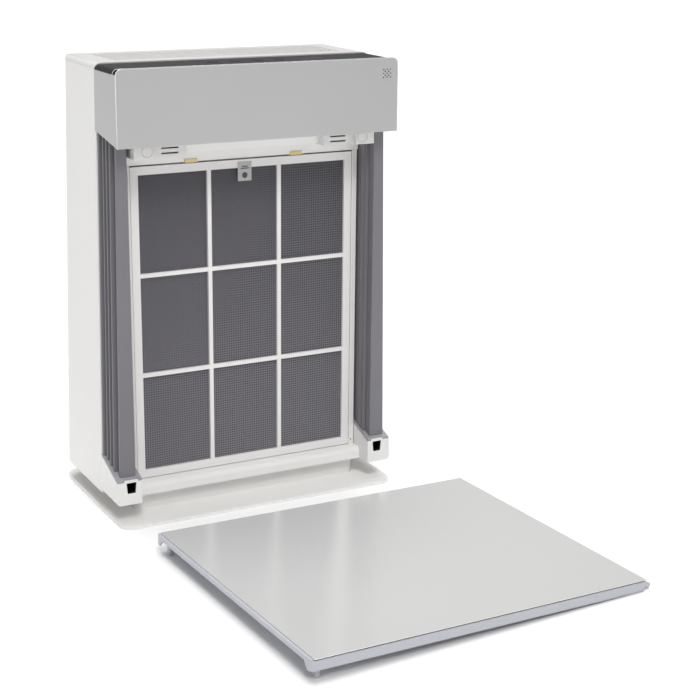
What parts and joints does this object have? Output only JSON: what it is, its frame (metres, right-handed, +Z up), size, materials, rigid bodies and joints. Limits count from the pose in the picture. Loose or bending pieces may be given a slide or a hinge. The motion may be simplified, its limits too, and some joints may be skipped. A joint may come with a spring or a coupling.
{
  "type": "air purifier",
  "caption": "Upright white room air purifier with a silver header, grey air inlet columns, a meshed pre-filter and its silver front panel lifted off and laid on the floor.",
  "frame": {"origin": "centre of the base plate's underside, on the floor", "axes": "+Z up, -Y towards the front where the pre-filter is, +X to the right seen from the front"},
  "size_m": [0.5212, 0.7282, 0.61],
  "materials": {
    "white_gloss": "gloss",
    "rubber": "matte",
    "steel": "zinc plated",
    "grille_white": "satin",
    "silver_paint": "silver metallic paint, satin",
    "charcoal": "semi gloss",
    "lens": "gloss",
    "button": "semi gloss",
    "board": "solder mask",
    "black_plastic": "satin",
    "magnet_cap": "gloss",
    "brass": "satin",
    "grey_plastic": "satin, fine grain",
    "cap_grey": "coarse texture",
    "white_satin": "satin",
    "mesh": "woven monofilament",
    "tag": "satin",
    "carbon": "granules in fleece",
    "hepa_board": "matte",
    "hepa_paper": "matte",
    "impeller_grey": "satin",
    "motor_case": "satin",
    "tray_plastic": "satin",
    "panel_silver": "silver, satin",
    "striker_steel": "satin"
  },
  "bodies": {
    "housing": {"base_plate": "white_gloss", "base_pads": "rubber", "base_screws": "steel", "plinth": "white_gloss", "housing_shell": "white_gloss", "outlet_grille": "grille_white", "header_surround": "silver_paint", "fascia": "silver_paint", "top_deck": "charcoal", "indicator_lens": "lens", "control_board": "board", "dust_sensor": "black_plastic", "latch_strip": "white_gloss", "latch_magnets": "magnet_cap", "prefilter_clips": "brass", "interlock_switch": "black_plastic", "front_frame": "white_gloss", "lower_bar": "white_gloss", "left_column_post": "grey_plastic", "right_column_post": "grey_plastic", "left_column_fins": "grey_plastic", "right_column_fins": "grey_plastic", "left_foot": "white_gloss", "right_foot": "white_gloss", "left_foot_cap": "cap_grey", "right_foot_cap": "cap_grey", "hook_pockets": "black_plastic", "filter_pocket": "white_satin", "carbon_filter": "carbon", "hepa_frame": "hepa_board", "hepa_pleats": "hepa_paper", "fan_guard": "white_satin", "fan_scroll": "white_satin", "motor": "motor_case", "motor_mount": "steel", "motor_screws": "steel", "power_board": "board", "ioniser": "black_plastic", "power_inlet": "black_plastic"},
    "prefilter": {"prefilter_frame": "white_satin", "prefilter_mesh": "mesh", "prefilter_tag": "tag"},
    "fan": {"impeller": "impeller_grey", "motor_shaft": "steel"},
    "button_power": {"power_button": "button"},
    "button_speed": {"speed_button": "button"},
    "button_mode": {"mode_button": "button"},
    "button_timer": {"timer_button": "button"},
    "front_panel": {"panel_tray": "tray_plastic", "panel_tape": "rubber", "panel_sheet": "panel_silver", "panel_hooks": "tray_plastic", "panel_strikers": "striker_steel"}
  },
  "joints": [
    {"name": "prefilter_tilt", "type": "hinge", "parent": "housing", "child": "prefilter", "pos_m": [0, -0.0613, 0.053], "axis": [1, 0, 0], "range_deg": [0, 18]},
    {"name": "fan_spin", "type": "hinge", "parent": "housing", "child": "fan", "pos_m": [0, 0.04, 0.2505], "axis": [0, 1, 0], "continuous": true},
    {"name": "power_press", "type": "slide", "parent": "housing", "child": "button_power", "axis": [0, 0, -1], "range_m": [0, 0.0012], "stiffness_N_per_m": 800},
    {"name": "speed_press", "type": "slide", "parent": "housing", "child": "button_speed", "axis": [0, 0, -1], "range_m": [0, 0.0012], "stiffness_N_per_m": 800},
    {"name": "mode_press", "type": "slide", "parent": "housing", "child": "button_mode", "axis": [0, 0, -1], "range_m": [0, 0.0012], "stiffness_N_per_m": 800},
    {"name": "timer_press", "type": "slide", "parent": "housing", "child": "button_timer", "axis": [0, 0, -1], "range_m": [0, 0.0012], "stiffness_N_per_m": 800},
    {"name": "front_panel_lift", "type": "slide", "parent": "housing", "child": "front_panel", "axis": [0, 0, 1], "range_m": [0, 0.3]}
  ]
}
